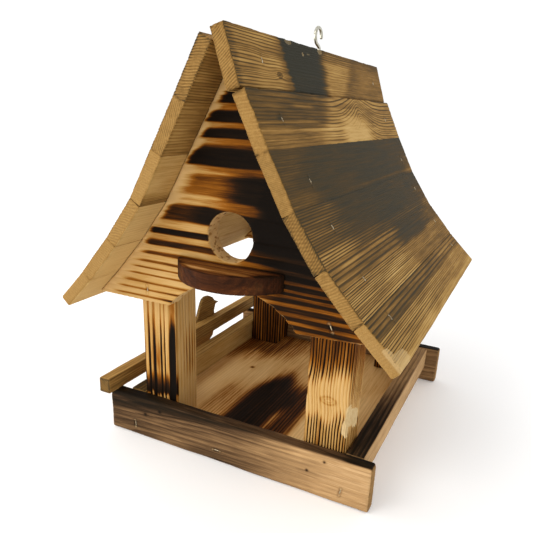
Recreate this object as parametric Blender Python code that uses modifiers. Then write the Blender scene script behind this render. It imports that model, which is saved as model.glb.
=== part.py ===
"""House-shaped hanging bird feeder, nailed together from sawn softwood laths.

Metres, +Z up.  The origin is the middle of the roof's plan, on the level of the
undersides of the two end rims.  The perch and the round hole face -Y, which is
the front; the rail with the cut-out bird is on the -X side.
"""

import math

import bmesh
import bpy
from mathutils import Matrix, Vector

# ---------------------------------------------------------------- driving sizes
GAP = 0.0003  # left between two pieces that touch
EASE = 0.0007  # width of the eased edges of a sawn piece
RIM_EASE = 0.0015  # the rims' edges are more worn

# stock
LATH_WIDTH = 0.040
RIM_THICKNESS = 0.0113
ROOF_THICKNESS = 0.010
POST_SIZE = (0.0346, 0.0311)  # along X, along Y

# base
RIM_FRONT = -0.1253  # outer face of the front rim
RIM_BACK = 0.1325  # outer face of the back rim
RIM_LEFT = -0.1274
RIM_RIGHT = {"front_rim": 0.1220, "back_rim": 0.1250}
FLOOR_BOTTOM = 0.006
FLOOR_TOP = 0.017
FLOOR_HALF_WIDTH = 0.105
POST_OUTER_X = 0.0958
BATTEN_THICKNESS = 0.0150
BATTEN_TOP = 0.0395
BATTEN_CLEARANCE = 0.0012  # between a post and the batten beside it

# rail and bird
RAIL_INNER_X = -0.1193
RAIL_THICKNESS = 0.0117
RAIL_HEIGHT = 0.0142
RAIL_OVERHANG = 0.0095
BIRD_THICKNESS = 0.0040
BIRD_Y = 0.0220  # the foot of its back lies this far behind the origin
BIRD_BOTTOM = 0.0200

# posts and gables
POST_TOP = 0.1630
GABLE_THICKNESS = 0.0150
GABLE_TOP = 0.3195
GABLE_BOTTOM = 0.1355
GABLE_BOTTOM_RIGHT = 0.1395  # its lower edge rises a little towards this corner
ARCH_HALF_CHORD = 0.0560
ARCH_RISE = 0.0262
HOLE_RADIUS = 0.0186
HOLE_HEIGHT = 0.1983
PERCH_TOP = 0.1782
PERCH_THICKNESS = 0.0135
PERCH_HALF_CHORD = 0.0453
PERCH_DEPTH = 0.0280

# roof: the outer upper corner of each slope's top plank, then each plank's
# slope in degrees and its width down the slope
ROOF_HALF_LENGTH = 0.1590
RIDGE_RIGHT = (0.0116, 0.3344)
RIDGE_LEFT = (-0.0057, 0.3288)
SECOND_RIGHT = (0.0270, 0.2985)  # the second right plank starts on its own step
PLANKS_RIGHT = (
    (71.3, 0.0370), (63.8, 0.0388), (61.3, 0.0401), (55.0, 0.0401), (47.5, 0.0401), (43.5, 0.0380),
)
PLANKS_LEFT = (
    (61.0, 0.0404), (60.4, 0.0400), (60.4, 0.0400), (52.8, 0.0400), (48.6, 0.0400), (45.3, 0.0366),
)

# screw hook
HOOK_X = 0.0090
HOOK_Y = -0.0030
HOOK_WIRE = 0.0014  # radius
HOOK_LOOP = 0.0064  # radius of the wire's centre line
HOOK_LOOP_OFFSET = -0.0032  # of the loop's centre from the shank, along Y
HOOK_LOOP_HEIGHT = 0.0112  # of the loop's centre above the wood
HOOK_LOOP_FROM = 232  # degrees round the loop, where the neck joins it
HOOK_LOOP_TO = -12  # and where its end is, which leaves the mouth open
HOOK_DEPTH = 0.0115  # of the shank in the wood
HOOK_NECK = 0.0022  # height at which the shank starts to bend
HOOK_BEND = 0.0020  # how stiffly the neck leaves the shank and meets the loop
HOOK_CLEARANCE = 0.00035  # around the shank in its hole

# staples
STAPLE_CROWN = 0.0072
STAPLE_WIRE = 0.0010
STAPLE_LEG = 0.0170
STAPLE_PROUD = 0.0002
GABLE_STAPLE_LEG = 0.0240
GABLE_STAPLE_HEIGHT = 0.1455
RIM_STAPLE_HEIGHT = 0.0112
CUTTER_MOUTH = 0.0020  # how far a cutter stands out of the wood
ROOF_STAPLES = (  # how far down its plank each staple is, and its place along Y
    (0.50, 0.0010), (0.50, -0.0025), (0.60, 0.0035), (0.45, 0.0035), (0.47, 0.0030), (0.25, 0.0000),
)
GABLE_STAPLES = (("left", -0.0774, (0, 0, 1)), ("right", 0.0820, (0.55, 0, -0.83)))
RIM_STAPLES = (("left", -0.1000, (0, 0, 1)), ("middle", -0.0133, (1, 0, 0)), ("right", 0.0985, (0.3, 0, 1)))

# ---------------------------------------------------------------- places that follow
RIM_FRONT_INNER = RIM_FRONT + RIM_THICKNESS
RIM_BACK_INNER = RIM_BACK - RIM_THICKNESS
POST_FRONT = RIM_FRONT_INNER + GAP
POST_BACK = RIM_BACK_INNER - GAP
POST_MID_X = POST_OUTER_X - POST_SIZE[0] / 2
GABLE_FRONT_Y = POST_FRONT - GAP - GABLE_THICKNESS / 2
GABLE_BACK_Y = POST_BACK + GAP + GABLE_THICKNESS / 2

WOODS = {
    "pale": (0.56, 0.37, 0.19),
    "tan": (0.45, 0.28, 0.13),
    "brown": (0.24, 0.13, 0.06),
    "scorched": (0.075, 0.045, 0.025),
}


# ---------------------------------------------------------------- scene helpers
def clear_scene():
    for obj in list(bpy.data.objects):
        bpy.data.objects.remove(obj, do_unlink=True)


def new_collection(name):
    collection = bpy.data.collections.new(name)
    bpy.context.scene.collection.children.link(collection)
    return collection


clear_scene()
PARTS = new_collection("bird_feeder")
CUTTERS = new_collection("cutters")


def material(name, colour, roughness, metallic=0.0):
    mat = bpy.data.materials.new(name)
    mat.use_nodes = True
    shader = mat.node_tree.nodes["Principled BSDF"]
    shader.inputs["Base Color"].default_value = (*colour, 1.0)
    shader.inputs["Roughness"].default_value = roughness
    shader.inputs["Metallic"].default_value = metallic
    return mat


def finish_wood(obj, tone):
    obj.data.materials.append(material(obj.name, WOODS[tone], 0.75))


def move_to(obj, collection):
    for old in list(obj.users_collection):
        old.objects.unlink(obj)
    collection.objects.link(obj)


def box(name, low, high, collection=PARTS):
    """A box between two corners, with its scale applied."""
    low, high = Vector(low), Vector(high)
    bpy.ops.mesh.primitive_cube_add(size=1.0, location=(low + high) / 2)
    obj = bpy.context.active_object
    obj.name = name
    obj.data.transform(Matrix.Diagonal((*(high - low), 1.0)))
    move_to(obj, collection)
    return obj


def ease(obj, width=EASE):
    bevel = obj.modifiers.new("eased edges", "BEVEL")
    bevel.width = width
    bevel.segments = 1
    bevel.limit_method = "ANGLE"
    bevel.angle_limit = math.radians(40)


def cut(obj, cutter):
    boolean = obj.modifiers.new(cutter.name, "BOOLEAN")
    boolean.operation = "DIFFERENCE"
    boolean.solver = "EXACT"
    boolean.object = cutter


def hide_cutter(obj):
    obj.hide_render = True
    obj.display_type = "WIRE"


def flat_outline(name, points, thickness, collection=PARTS):
    """A flat piece from a closed outline in its own XY plane, as a mesh."""
    curve = bpy.data.curves.new(name, "CURVE")
    curve.dimensions = "2D"
    curve.fill_mode = "BOTH"
    curve.extrude = thickness / 2
    spline = curve.splines.new("POLY")
    spline.points.add(len(points) - 1)
    for point, (x, y) in zip(spline.points, points):
        point.co = (x, y, 0.0, 1.0)
    spline.use_cyclic_u = True
    guide = bpy.data.objects.new(name + "_outline", curve)
    collection.objects.link(guide)
    return mesh_from_curve(guide, name, collection)


def mesh_from_curve(guide, name, collection):
    """Replaces a curve by a closed mesh of the same shape."""
    bpy.context.view_layer.update()
    evaluated = guide.evaluated_get(bpy.context.evaluated_depsgraph_get())
    mesh = bpy.data.meshes.new_from_object(evaluated)
    mesh.materials.clear()
    body = bmesh.new()
    body.from_mesh(mesh)
    bmesh.ops.remove_doubles(body, verts=body.verts, dist=0.00001)
    body.to_mesh(mesh)
    body.free()
    obj = bpy.data.objects.new(name, mesh)
    obj.matrix_world = guide.matrix_world
    collection.objects.link(obj)
    bpy.data.objects.remove(guide, do_unlink=True)
    return obj


def place(obj, origin, x_axis, y_axis):
    """Puts a piece's own X and Y along two directions of the feeder."""
    x_axis, y_axis = Vector(x_axis).normalized(), Vector(y_axis).normalized()
    rotation = Matrix((x_axis, y_axis, x_axis.cross(y_axis))).transposed()
    obj.matrix_world = Matrix.Translation(Vector(origin)) @ rotation.to_4x4()


def arc(centre, radius, start, end, count):
    """Points along a circle, from one angle to another in degrees."""
    angles = (math.radians(start + (end - start) * i / count) for i in range(count + 1))
    return [(centre[0] + radius * math.cos(a), centre[1] + radius * math.sin(a)) for a in angles]


# ---------------------------------------------------------------- base
def build_floor():
    low = (-FLOOR_HALF_WIDTH, RIM_FRONT_INNER + GAP, FLOOR_BOTTOM)
    high = (FLOOR_HALF_WIDTH, RIM_BACK_INNER - GAP, FLOOR_TOP)
    floor = box("floor_board", low, high)
    ease(floor)
    finish_wood(floor, "tan")
    return floor


def build_rims():
    rims = {}
    for name, y in (("front_rim", RIM_FRONT), ("back_rim", RIM_BACK_INNER)):
        rims[name] = box(name, (RIM_LEFT, y, 0.0), (RIM_RIGHT[name], y + RIM_THICKNESS, LATH_WIDTH))
        ease(rims[name], RIM_EASE)
        finish_wood(rims[name], "brown")
    return rims


def build_battens():
    """The two side boards, which stand on the floor between the rims."""
    inner = POST_OUTER_X + BATTEN_CLEARANCE
    for side, sign in (("left", -1), ("right", 1)):
        edges = sorted((sign * inner, sign * (inner + BATTEN_THICKNESS)))
        low = (edges[0], RIM_FRONT_INNER + GAP, FLOOR_TOP + GAP)
        high = (edges[1], RIM_BACK_INNER - GAP, BATTEN_TOP)
        batten = box(side + "_side_batten", low, high)
        ease(batten)
        finish_wood(batten, "tan")


def build_rail():
    low = (RAIL_INNER_X - RAIL_THICKNESS, RIM_FRONT - RAIL_OVERHANG, LATH_WIDTH + GAP)
    high = (RAIL_INNER_X, RIM_BACK + RAIL_OVERHANG, LATH_WIDTH + GAP + RAIL_HEIGHT)
    rail = box("left_top_rail", low, high)
    ease(rail)
    finish_wood(rail, "tan")


def build_bird():
    """A perching bird sawn from thin board, nailed to the outside of the rail."""
    outline = (
        (-0.0380, 0.0060), (-0.0410, 0.0130), (-0.0120, 0.0220), (0.0020, 0.0370), (0.0093, 0.0522),
        (0.0127, 0.0574), (0.0181, 0.0594), (0.0263, 0.0587), (0.0335, 0.0549), (0.0382, 0.0498),
        (0.0469, 0.0456), (0.0400, 0.0450), (0.0370, 0.0373), (0.0385, 0.0200), (0.0340, 0.0068),
        (0.0220, 0.0000), (0.0000, -0.0010), (-0.0150, 0.0030),
    )
    bird = flat_outline("bird_cutout", outline, BIRD_THICKNESS)
    outside = RAIL_INNER_X - RAIL_THICKNESS - GAP - BIRD_THICKNESS / 2
    place(bird, (outside, BIRD_Y, BIRD_BOTTOM), (0, 1, 0), (0, 0, 1))
    finish_wood(bird, "tan")


# ---------------------------------------------------------------- posts, gables and perch
def build_posts():
    width, depth = POST_SIZE
    for end, y in (("front", POST_FRONT), ("back", POST_BACK - depth)):
        for side, sign in (("left", -1), ("right", 1)):
            x = sign * POST_MID_X - width / 2
            low = (x, y, FLOOR_TOP + GAP)
            post = box(f"{end}_{side}_post", low, (x + width, y + depth, POST_TOP))
            ease(post)
            finish_wood(post, "pale")


def lay_planks(start, side, planks):
    """Each plank's outer upper corner, its direction down the slope, its inward
    normal and its width, from the ridge to the eave."""
    rows = []
    x, z = start
    for angle, width in planks:
        a = math.radians(angle)
        down = Vector((side * math.cos(a), 0.0, -math.sin(a)))
        inward = Vector((-side * math.sin(a), 0.0, -math.cos(a)))
        corner = Vector((x, 0.0, z))
        rows.append((corner, down, inward, width))
        x, _, z = corner + down * width
    return rows


def side_sign(side):
    return 1 if side == "right" else -1


SLOPES = {
    "right": lay_planks(RIDGE_RIGHT, 1, PLANKS_RIGHT[:1]) + lay_planks(SECOND_RIGHT, 1, PLANKS_RIGHT[1:]),
    "left": lay_planks(RIDGE_LEFT, -1, PLANKS_LEFT),
}


def underside(rows):
    """The line that the planks' inner faces follow, as (x, z) from the ridge to
    the eave, a gap below them."""
    points = []
    for corner, down, inward, width in rows:
        start = corner + inward * (ROOF_THICKNESS + GAP)
        if not points or (start - points[-1]).length > GAP:
            points.append(start)
        points.append(start + down * width)
    return [(p.x, p.z) for p in points]


def trimmed(points, top, bottom):
    """The part of a falling line that lies between two heights."""
    kept = []
    for (x0, z0), (x1, z1) in zip(points, points[1:]):
        for level in (top, bottom):
            if z1 < level < z0:
                kept.append((x0 + (x1 - x0) * (z0 - level) / (z0 - z1), level))
        if bottom < z1 < top:
            kept.append((x1, z1))
    return sorted(kept, key=lambda point: -point[1])


def gable_outline():
    right = trimmed(underside(SLOPES["right"]), GABLE_TOP, GABLE_BOTTOM_RIGHT)
    left = trimmed(underside(SLOPES["left"]), GABLE_TOP, GABLE_BOTTOM)
    radius = (ARCH_HALF_CHORD**2 + ARCH_RISE**2) / (2 * ARCH_RISE)
    centre = (0.0, GABLE_BOTTOM + ARCH_RISE - radius)
    half = math.degrees(math.asin(ARCH_HALF_CHORD / radius))
    return right + arc(centre, radius, 90 - half, 90 + half, 16) + left[::-1]


def build_gables():
    gables = {}
    for name, y in (("front_gable", GABLE_FRONT_Y), ("back_gable", GABLE_BACK_Y)):
        gable = flat_outline(name, gable_outline(), GABLE_THICKNESS)
        place(gable, (0.0, y, 0.0), (1, 0, 0), (0, 0, 1))
        bpy.ops.mesh.primitive_cylinder_add(
            vertices=40, radius=HOLE_RADIUS, depth=GABLE_THICKNESS * 2,
            location=(0.0, y, HOLE_HEIGHT), rotation=(math.radians(90), 0.0, 0.0))
        cutter = bpy.context.active_object
        cutter.name = name + "_hole"
        move_to(cutter, CUTTERS)
        hide_cutter(cutter)
        cut(gable, cutter)
        finish_wood(gable, "brown")
        gables[name] = gable
    return gables


def build_perch():
    radius = (PERCH_HALF_CHORD**2 + PERCH_DEPTH**2) / (2 * PERCH_DEPTH)
    half = math.degrees(math.asin(PERCH_HALF_CHORD / radius))
    outline = arc((0.0, radius - PERCH_DEPTH), radius, 270 - half, 270 + half, 20)
    perch = flat_outline("perch_shelf", outline, PERCH_THICKNESS)
    back = GABLE_FRONT_Y - GABLE_THICKNESS / 2 - GAP
    perch.location = (0.0, back, PERCH_TOP - PERCH_THICKNESS / 2)
    ease(perch)
    finish_wood(perch, "scorched")


# ---------------------------------------------------------------- roof
def build_roof():
    roof = {}
    for side, rows in SLOPES.items():
        for number, (corner, down, inward, width) in enumerate(rows, 1):
            name = f"roof_plank_{side}_{number}"
            deep = -side_sign(side) * ROOF_THICKNESS
            low = (0.0, -ROOF_HALF_LENGTH, min(deep, 0.0))
            plank = box(name, low, (width - GAP, ROOF_HALF_LENGTH, max(deep, 0.0)))
            plank.data.transform(Matrix.Translation(plank.location))
            place(plank, corner, down, (0, 1, 0))
            ease(plank)
            finish_wood(plank, "scorched" if number in (3, 4) else "brown")
            roof[side, number] = plank
    return roof


# ---------------------------------------------------------------- hook
def ridge_height(x):
    """Height of the right top plank's upper edge above a place on it."""
    corner, _, inward, _ = SLOPES["right"][0]
    return corner.z + (corner.x - x) * inward.z / -inward.x


def bezier(points, count):
    a, b, c, d = (Vector(point) for point in points)
    steps = (i / count for i in range(count))
    return [a * (1 - t)**3 + b * 3 * t * (1 - t)**2 + c * 3 * t**2 * (1 - t) + d * t**3 for t in steps]


def build_hook(plank):
    wood = ridge_height(HOOK_X)
    centre = (HOOK_LOOP_OFFSET, HOOK_LOOP_HEIGHT)
    loop = arc(centre, HOOK_LOOP, HOOK_LOOP_FROM, HOOK_LOOP_TO, 20)
    heading = math.radians(HOOK_LOOP_FROM - 90)
    before = Vector(loop[0]) - Vector((math.cos(heading), math.sin(heading))) * HOOK_BEND
    neck = bezier(((0, HOOK_NECK), (0, HOOK_NECK + HOOK_BEND), before, loop[0]), 5)
    route = [(0.0, -HOOK_DEPTH), (0.0, 0.0)] + [tuple(p) for p in neck] + loop

    curve = bpy.data.curves.new("screw_hook", "CURVE")
    curve.dimensions = "3D"
    curve.bevel_depth = HOOK_WIRE
    curve.bevel_resolution = 2
    curve.use_fill_caps = True
    spline = curve.splines.new("POLY")
    spline.points.add(len(route) - 1)
    for point, (y, z) in zip(spline.points, route):
        point.co = (0.0, y, z, 1.0)
    guide = bpy.data.objects.new("hook_route", curve)
    guide.location = (HOOK_X, HOOK_Y, wood)
    PARTS.objects.link(guide)
    hook = mesh_from_curve(guide, "screw_hook", PARTS)
    hook.data.shade_smooth()
    hook.data.materials.append(material("screw_hook", (0.62, 0.61, 0.55), 0.35, 1.0))

    depth = HOOK_DEPTH + GAP + CUTTER_MOUTH
    bpy.ops.mesh.primitive_cylinder_add(
        vertices=16, radius=HOOK_WIRE + HOOK_CLEARANCE, depth=depth,
        location=(HOOK_X, HOOK_Y, wood + CUTTER_MOUTH - depth / 2))
    cutter = bpy.context.active_object
    cutter.name = "hook_pilot_hole"
    move_to(cutter, CUTTERS)
    hide_cutter(cutter)
    cut(plank, cutter)


# ---------------------------------------------------------------- staples
def staple_outline(crown, leg, wire, top, grow=0.0):
    """A flat U, its crown along X and its legs down -Y."""
    half, foot, under = crown / 2 + grow, -leg - grow, STAPLE_PROUD - wire - grow
    inside = crown / 2 - wire - grow
    return [(-half, top), (half, top), (half, foot), (inside, foot),
            (inside, under), (-inside, under), (-inside, foot), (-half, foot)]


def staple(name, place_on, along, outward, woods, leg=STAPLE_LEG):
    """Drives a staple into the pieces in woods, whose pockets clear it."""
    outline = staple_outline(STAPLE_CROWN, leg, STAPLE_WIRE, STAPLE_PROUD)
    wire = flat_outline(name, outline, STAPLE_WIRE)
    place(wire, place_on, along, outward)
    wire.data.materials.append(material(name, (0.55, 0.50, 0.42), 0.4, 1.0))

    pocket_outline = staple_outline(STAPLE_CROWN, leg, STAPLE_WIRE, CUTTER_MOUTH, GAP)
    pocket = flat_outline(name + "_pocket", pocket_outline, STAPLE_WIRE + 2 * GAP, CUTTERS)
    place(pocket, place_on, along, outward)
    hide_cutter(pocket)
    for wood in woods:
        cut(wood, pocket)


def drive_roof_staples(roof, gables):
    for (side, number), plank in roof.items():
        corner, down, inward, width = SLOPES[side][number - 1]
        part, shift = ROOF_STAPLES[number - 1]
        for end, y in (("front", GABLE_FRONT_Y), ("back", GABLE_BACK_Y)):
            spot = corner + down * width * part + Vector((0.0, y + shift, 0.0))
            staple(f"roof_staple_{side}_{number}_{end}", spot, down, -inward,
                   (plank, gables[end + "_gable"]))


def drive_gable_staples(gables):
    """Two through each gable into the posts behind it."""
    for end, sign, y in (("front", -1, GABLE_FRONT_Y), ("back", 1, GABLE_BACK_Y)):
        face = y + sign * GABLE_THICKNESS / 2
        for side, x, along in GABLE_STAPLES:
            post = bpy.data.objects[f"{end}_{side}_post"]
            staple(f"{end}_gable_staple_{side}", (x, face, GABLE_STAPLE_HEIGHT), along, (0, sign, 0),
                   (gables[end + "_gable"], post), leg=GABLE_STAPLE_LEG)


def drive_rim_staples(rims, floor):
    """Three through the front rim into the end of the floor board."""
    for side, x, along in RIM_STAPLES:
        staple(f"front_rim_staple_{side}", (x, RIM_FRONT, RIM_STAPLE_HEIGHT), along, (0, -1, 0),
               (rims["front_rim"], floor))


def build_feeder():
    floor = build_floor()
    rims = build_rims()
    build_battens()
    build_rail()
    build_bird()
    build_posts()
    gables = build_gables()
    build_perch()
    roof = build_roof()
    build_hook(roof["right", 1])
    drive_roof_staples(roof, gables)
    drive_gable_staples(gables)
    drive_rim_staples(rims, floor)


build_feeder()
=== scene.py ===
"""The looks of the bird feeder: sawn softwood, torched and brushed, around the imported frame.

Every wooden piece is rebuilt as a fine mesh with worn edges, raised grain, rough sawn
ends and torn chips.  What a torch does to wood is worked out in each board's own
coordinates, in millimetres: U along the grain, V across it and D in from its outer face.
The mesh carries three vectors per point, and the wood material draws the rings from them:
  burn   how burnt the hard late wood and the soft early wood are, and how freshly torn
  ring   which growth ring it is, and the shares of a ring where late wood starts and is full
  cut    how bold the ring is, how deep the saw marks are and whether it is end grain
"""
import itertools
import math

import bmesh
import bpy
import numpy as np
from mathutils import Matrix, Vector


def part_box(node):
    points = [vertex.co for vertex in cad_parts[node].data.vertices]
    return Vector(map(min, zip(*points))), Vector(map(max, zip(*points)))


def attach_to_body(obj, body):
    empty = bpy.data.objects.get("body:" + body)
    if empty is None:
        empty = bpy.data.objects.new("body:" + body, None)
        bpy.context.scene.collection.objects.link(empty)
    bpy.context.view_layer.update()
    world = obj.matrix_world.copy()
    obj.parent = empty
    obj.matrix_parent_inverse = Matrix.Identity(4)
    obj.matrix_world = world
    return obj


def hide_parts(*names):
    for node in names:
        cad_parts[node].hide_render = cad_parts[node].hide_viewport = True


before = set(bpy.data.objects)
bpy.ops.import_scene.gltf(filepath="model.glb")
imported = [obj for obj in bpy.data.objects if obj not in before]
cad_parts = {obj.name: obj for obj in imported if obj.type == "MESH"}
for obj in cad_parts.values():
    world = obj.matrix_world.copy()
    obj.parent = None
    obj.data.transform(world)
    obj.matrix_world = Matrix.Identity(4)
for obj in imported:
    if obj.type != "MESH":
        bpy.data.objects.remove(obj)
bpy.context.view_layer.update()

MM = 0.001
FINE_STEP = 0.6  # mm between grid lines around small marks
STAPLE_WIRE = 0.55  # mm, radius
CROWN_PROUD = 0.4  # mm that a staple's crown stands out of the wood
OCTAVES = 3  # layers of noise in rough
HOUSE, HOOK = "house", "hook"
X, Y, Z = Vector((1, 0, 0)), Vector((0, 1, 0)), Vector((0, 0, 1))


# ---------------------------------------------------------------- numbers
def step(low, high, x):
    """Smooth rise from 0 at low to 1 at high."""
    t = np.clip((x - low) / (high - low), 0, 1)
    return t * t * (3 - 2 * t)


def fall(low, high, x):
    """Smooth drop from 1 at low to 0 at high."""
    return 1 - step(low, high, x)


def window(x, low, high, blur):
    """1 between low and high, fading over blur on each side."""
    return step(low - blur, low + blur, x) * fall(high - blur, high + blur, x)


def hill(x, middle, half):
    return np.exp(-((x - middle) / half) ** 2)


def cell_value(cell, seed):
    """A fixed number from 0 to 1 for each whole-number cell."""
    c = cell.astype(np.uint64)
    n = c[:, 0] * 73856093 ^ c[:, 1] * 19349663 ^ c[:, 2] * 83492791 ^ np.uint64(seed * 7919 + 17)
    n = n & np.uint64(0xFFFFFFFF)
    for _ in range(2):
        n = ((n ^ (n >> np.uint64(15))) * np.uint64(0x2C1B3C6D)) & np.uint64(0xFFFFFFFF)
    n = n ^ (n >> np.uint64(13))
    return n.astype(float) / 2**32


def noise(points, size, seed):
    """Smooth noise from -1 to 1 whose features are about size apart along each axis."""
    q = points / np.asarray(size, float)
    cell = np.floor(q)
    f = q - cell
    f = f * f * (3 - 2 * f)
    cell = cell.astype(np.int64) + 100000
    total = np.zeros(len(q))
    for corner in itertools.product((0, 1), repeat=3):
        weight = np.prod(np.where(corner, f, 1 - f), axis=1)
        total += weight * cell_value(cell + np.array(corner), seed)
    return total * 2 - 1


def rough(points, size, seed):
    size = np.asarray(size, float)
    parts = [noise(points, size / 2**k, seed + 31 * k) / 2**k for k in range(OCTAVES)]
    return sum(parts) / sum(1 / 2**k for k in range(OCTAVES))


def srgb(*values):
    linear = [v / 255 for v in values]
    return tuple(v / 12.92 if v <= 0.04045 else ((v + 0.055) / 1.055) ** 2.4 for v in linear)


# ---------------------------------------------------------------- materials
class Nodes:
    """A material's nodes, made one call each."""

    def __init__(self, name):
        self.material = bpy.data.materials.new(name)
        self.material.use_nodes = True
        self.tree = self.material.node_tree
        self.shader = self.tree.nodes["Principled BSDF"]

    def feed(self, socket, value):
        if isinstance(value, bpy.types.NodeSocket):
            self.tree.links.new(value, socket)
        elif isinstance(value, (tuple, list)) and len(value) == 3 and socket.type == "RGBA":
            socket.default_value = (*value, 1.0)
        else:
            socket.default_value = value

    def add(self, kind, inputs=(), **settings):
        node = self.tree.nodes.new(kind)
        for key, value in settings.items():
            setattr(node, key, value)
        for key, value in dict(inputs).items():
            self.feed(node.inputs[key], value)
        return node

    def math(self, operation, a, b=0.0):
        return self.add("ShaderNodeMath", {0: a, 1: b}, operation=operation).outputs[0]

    def mix(self, factor, a, b):
        node = self.add("ShaderNodeMix", data_type="RGBA", clamp_factor=True)
        for key, value in ((0, factor), (6, a), (7, b)):
            self.feed(node.inputs[key], value)
        return node.outputs[2]

    def spread(self, value, low, high, to_low=0.0, to_high=1.0):
        inputs = {"Value": value, "From Min": low, "From Max": high, "To Min": to_low, "To Max": to_high}
        return self.add("ShaderNodeMapRange", inputs).outputs[0]

    def ramp(self, factor, stops):
        node = self.add("ShaderNodeValToRGB", {"Fac": factor})
        elements = node.color_ramp.elements
        while len(elements) < len(stops):
            elements.new(0.5)
        for element, (place, colour) in zip(elements, stops):
            element.position = place
            element.color = (*colour, 1.0)
        return node.outputs[0]

    def noise(self, scale, detail=3.0):
        """Noise in the piece's own space, with a scale for each axis."""
        where = self.add("ShaderNodeTexCoord").outputs["Object"]
        where = self.add("ShaderNodeVectorMath", {0: where, 1: scale}, operation="MULTIPLY").outputs[0]
        inputs = {"Vector": where, "Scale": 1.0, "Detail": detail, "Roughness": 0.6}
        return self.add("ShaderNodeTexNoise", inputs).outputs["Fac"]

    def parts(self, name):
        """The three numbers of a vector that the mesh carries."""
        vector = self.add("ShaderNodeAttribute", attribute_name=name).outputs["Vector"]
        return self.add("ShaderNodeSeparateXYZ", {0: vector}).outputs

    def rise(self, value, low, high):
        """Smooth rise from 0 at low to 1 at high."""
        inputs = {"Value": value, "From Min": low, "From Max": high}
        return self.add("ShaderNodeMapRange", inputs, interpolation_type="SMOOTHSTEP").outputs[0]

    def set(self, **inputs):
        for key, value in inputs.items():
            self.feed(self.shader.inputs[key.replace("_", " ")], value)


BURNS = {  # colours from bare wood to soot
    "pale": ((208, 172, 116), (184, 143, 80), (140, 84, 22), (86, 47, 12), (42, 25, 12), (25, 17, 10),
             (17, 12, 8)),
    # The roof colours' darkest stops are greyed towards olive: the char's own colour with a painted sheen of
    # reflected sky.
    "roof": ((206, 172, 112), (175, 139, 79), (138, 103, 54), (102, 76, 39), (74, 58, 34), (61, 53, 36),
             (50, 48, 38)),
    "rim": ((212, 175, 128), (170, 135, 93), (123, 94, 63), (84, 62, 41), (50, 36, 23), (34, 26, 16),
            (24, 18, 12)),
    # The floor colours are lighter than the same wood elsewhere: painted light in place of the light that the
    # roof keeps off the floor.
    "floor": ((238, 202, 142), (214, 168, 104), (158, 104, 46), (96, 54, 22), (50, 30, 15), (28, 19, 11),
              (18, 12, 8)),
    "perch": ((206, 156, 98), (142, 92, 42), (98, 56, 24), (66, 35, 17), (46, 25, 13), (34, 20, 11),
              (26, 16, 10)),
}
RING_START = 0.14  # share of a ring over which its early wood starts
BURN_STOPS = (0.0, 0.2, 0.42, 0.62, 0.82, 1.0, 1.25)


def wood(name, burn):
    m = Nodes(name)
    hard, soft, fresh = m.parts("burn")
    ring, fade_from, fade_to = m.parts("ring")
    bold, saw, end = m.parts("cut")
    share = m.math("FRACT", ring)
    late = m.math("SUBTRACT", 1.0, m.rise(share, 0.0, RING_START))
    late = m.math("MAXIMUM", late, m.rise(share, fade_from, fade_to))
    late = m.math("MULTIPLY", late, bold)
    char = m.math("ADD", soft, m.math("MULTIPLY", late, m.math("SUBTRACT", hard, soft)))
    fibres = m.noise((70, 2600, 2600), 4.0)
    streaks = m.noise((14, 420, 420), 3.0)
    clouds = m.noise((22, 55, 55), 2.0)
    specks = m.noise((1500, 1500, 1500), 3.0)
    level = m.math("ADD", char, m.spread(fibres, 0.25, 0.75, -0.12, 0.12))
    level = m.math("ADD", level, m.spread(streaks, 0.25, 0.75, -0.1, 0.1))
    level = m.math("ADD", level, m.spread(clouds, 0.3, 0.7, -0.06, 0.06))
    level = m.math("MAXIMUM", level, m.math("MULTIPLY", char, 0.3))
    deepest = BURN_STOPS[-1]
    ramp = [(stop / deepest, srgb(*colour)) for stop, colour in zip(BURN_STOPS, BURNS[burn])]
    colour = m.ramp(m.math("DIVIDE", level, deepest), ramp)
    ring_tint = m.math("MULTIPLY", late, m.spread(level, 0.0, 0.4, 0.3, 0.0))
    colour = m.mix(ring_tint, colour, srgb(168, 124, 66))
    sawn = m.mix(m.spread(specks, 0.3, 0.7), srgb(132, 98, 50), srgb(160, 124, 72))
    sawn = m.mix(saw, sawn, srgb(62, 38, 16))
    colour = m.mix(m.math("MULTIPLY", end, m.spread(char, 0.15, 0.75, 0.85, 0.0)), colour, sawn)
    torn = m.mix(m.spread(fibres, 0.3, 0.7), srgb(190, 158, 106), srgb(226, 202, 156))
    colour = m.mix(fresh, colour, torn)
    m.set(Base_Color=colour, Roughness=m.spread(level, 0.0, 1.0, 0.7, 0.55))
    m.set(Specular_IOR_Level=0.03)
    height = m.math("ADD", m.math("MULTIPLY", fibres, 0.6), m.math("MULTIPLY", specks, 0.4))
    bumped = m.add("ShaderNodeBump", {"Strength": 0.5, "Distance": 0.00025, "Height": height})
    m.set(Normal=bumped.outputs[0])
    return m.material


WOODS = {burn: wood("wood_" + burn, burn) for burn in BURNS}


def wire_metal():
    m = Nodes("staple_wire")
    grime = m.noise((700, 700, 700), 3.0)
    m.set(Base_Color=m.mix(m.spread(grime, 0.4, 0.62), srgb(190, 176, 146), srgb(120, 100, 74)))
    m.set(Metallic=0.85, Roughness=m.spread(grime, 0.3, 0.7, 0.28, 0.5))
    return m.material


def zinc():
    m = Nodes("zinc_hook")
    marks = m.noise((900, 900, 260), 4.0)
    m.set(Base_Color=m.mix(m.spread(marks, 0.35, 0.65), srgb(205, 203, 190), srgb(160, 156, 138)))
    m.set(Metallic=1.0, Roughness=m.spread(marks, 0.3, 0.7, 0.16, 0.34))
    bumped = m.add("ShaderNodeBump", {"Strength": 0.2, "Distance": 0.0001, "Height": marks})
    m.set(Normal=bumped.outputs[0])
    return m.material


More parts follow.
